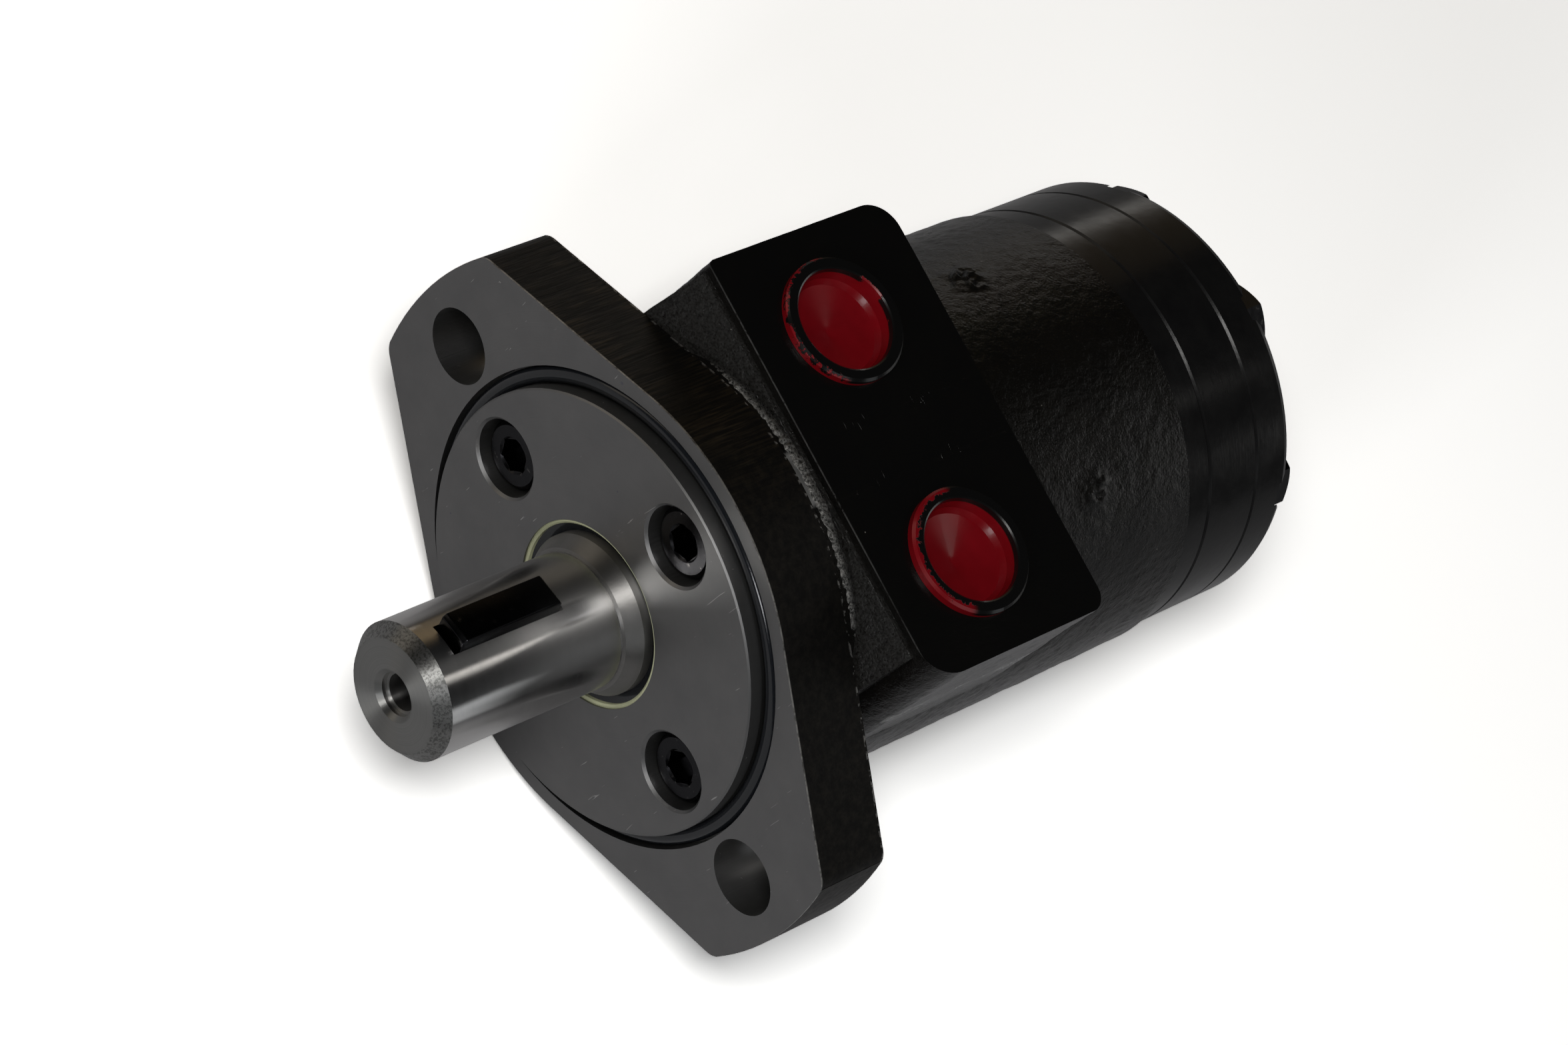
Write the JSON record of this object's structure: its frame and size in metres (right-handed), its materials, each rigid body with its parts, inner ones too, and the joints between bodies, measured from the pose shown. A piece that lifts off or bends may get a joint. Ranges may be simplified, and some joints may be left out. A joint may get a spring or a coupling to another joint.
{
  "type": "hydraulic motor",
  "caption": "Orbital hydraulic motor: two-bolt flange, keyed output shaft, spool valve and roller rotor set that turn oil flow through two side ports into slow, strong shaft rotation.",
  "frame": {"origin": "on the shaft axis, in the plane of the flange mounting face", "axes": "-Y along the output shaft out of the flange, +Y towards the end cap, +Z out of the port face, +X along the line of the two mounting bolt holes"},
  "size_m": [0.13, 0.186, 0.0954],
  "materials": {
    "flange_iron": "machined satin",
    "housing_paint": "gloss over sand cast iron",
    "ring_paint": "gloss",
    "ground_steel": "ground and polished",
    "hard_steel": "ground",
    "black_steel": "black oxide",
    "black_rubber": "satin",
    "seal_band": "satin",
    "red_plastic": "gloss",
    "bearing_steel": "polished"
  },
  "bodies": {
    "motor_body": {"mounting_flange": "flange_iron", "pilot_o_ring": "black_rubber", "flange_screws": "black_steel", "dust_seal_band": "seal_band", "dust_seal": "black_rubber", "shaft_seal": "black_rubber", "seal_backup_washer": "hard_steel", "flange_seal_ring": "black_rubber", "housing": "housing_paint", "bearing_race_front": "bearing_steel", "housing_seal_ring": "black_rubber", "spacer_plate": "ring_paint", "ring_front_seal": "black_rubber", "stator_ring": "ring_paint", "cap_seal_ring": "black_rubber", "end_cap": "ring_paint", "cap_bolts": "black_steel"},
    "bearing": {"bearing_cage": "bearing_steel", "bearing_needles": "bearing_steel"},
    "shaft": {"output_shaft": "ground_steel", "shaft_key": "black_steel", "bearing_race_rear": "bearing_steel"},
    "orbit": {"drive_spacer": "hard_steel"},
    "rotor_set": {"rotor": "hard_steel"},
    "drive": {"drive_link": "hard_steel"},
    "roller_body_1": {"roller_1": "bearing_steel"},
    "roller_body_2": {"roller_2": "bearing_steel"},
    "roller_body_3": {"roller_3": "bearing_steel"},
    "roller_body_4": {"roller_4": "bearing_steel"},
    "roller_body_5": {"roller_5": "bearing_steel"},
    "roller_body_6": {"roller_6": "bearing_steel"},
    "roller_body_7": {"roller_7": "bearing_steel"},
    "plug_a": {"port_plug_a": "red_plastic"},
    "plug_b": {"port_plug_b": "red_plastic"}
  },
  "joints": [
    {"name": "shaft_spin", "type": "hinge", "parent": "motor_body", "child": "shaft", "pos_m": [0, 0, 0], "axis": [0, -1, 0], "continuous": true},
    {"name": "bearing_spin", "type": "hinge", "parent": "motor_body", "child": "bearing", "pos_m": [0, 0.017, 0], "axis": [0, -1, 0], "continuous": true},
    {"name": "orbit_spin", "type": "hinge", "parent": "motor_body", "child": "orbit", "pos_m": [0, 0.12, 0], "axis": [0, -1, 0], "continuous": true},
    {"name": "rotor_spin", "type": "hinge", "parent": "orbit", "child": "rotor_set", "pos_m": [-0.00109, 0.1205, 0.00247], "axis": [0, -1, 0], "continuous": true},
    {"name": "drive_spin", "type": "hinge", "parent": "orbit", "child": "drive", "pos_m": [0, 0.068, 0], "axis": [0.0213, -0.9986, -0.0484], "continuous": true},
    {"name": "roller_spin_1", "type": "hinge", "parent": "motor_body", "child": "roller_body_1", "pos_m": [-0.01138, 0.1205, 0.02591], "axis": [0, -1, 0], "continuous": true},
    {"name": "roller_spin_2", "type": "hinge", "parent": "motor_body", "child": "roller_body_2", "pos_m": [-0.02735, 0.1205, 0.00726], "axis": [0, -1, 0], "continuous": true},
    {"name": "roller_spin_3", "type": "hinge", "parent": "motor_body", "child": "roller_body_3", "pos_m": [-0.02273, 0.1205, -0.01686], "axis": [0, -1, 0], "continuous": true},
    {"name": "roller_spin_4", "type": "hinge", "parent": "motor_body", "child": "roller_body_4", "pos_m": [-0.00099, 0.1205, -0.02828], "axis": [0, -1, 0], "continuous": true},
    {"name": "roller_spin_5", "type": "hinge", "parent": "motor_body", "child": "roller_body_5", "pos_m": [0.0215, 0.1205, -0.01841], "axis": [0, -1, 0], "continuous": true},
    {"name": "roller_spin_6", "type": "hinge", "parent": "motor_body", "child": "roller_body_6", "pos_m": [0.02779, 0.1205, 0.00533], "axis": [0, -1, 0], "continuous": true},
    {"name": "roller_spin_7", "type": "hinge", "parent": "motor_body", "child": "roller_body_7", "pos_m": [0.01316, 0.1205, 0.02505], "axis": [0, -1, 0], "continuous": true},
    {"name": "plug_a_pull", "type": "slide", "parent": "motor_body", "child": "plug_a", "axis": [0, 0, 1], "range_m": [0, 0.05]},
    {"name": "plug_b_pull", "type": "slide", "parent": "motor_body", "child": "plug_b", "axis": [0, 0, 1], "range_m": [0, 0.05]}
  ],
  "couplings": [
    {"joint": "bearing_spin", "follows": "shaft_spin", "ratio": 0.5},
    {"joint": "orbit_spin", "follows": "shaft_spin", "ratio": -6},
    {"joint": "rotor_spin", "follows": "shaft_spin", "ratio": 7},
    {"joint": "drive_spin", "follows": "shaft_spin", "ratio": 7},
    {"joint": "roller_spin_1", "follows": "shaft_spin", "ratio": -5.46},
    {"joint": "roller_spin_2", "follows": "shaft_spin", "ratio": -5.46},
    {"joint": "roller_spin_3", "follows": "shaft_spin", "ratio": -5.46},
    {"joint": "roller_spin_4", "follows": "shaft_spin", "ratio": -5.46},
    {"joint": "roller_spin_5", "follows": "shaft_spin", "ratio": -5.46},
    {"joint": "roller_spin_6", "follows": "shaft_spin", "ratio": -5.46},
    {"joint": "roller_spin_7", "follows": "shaft_spin", "ratio": -5.46}
  ]
}
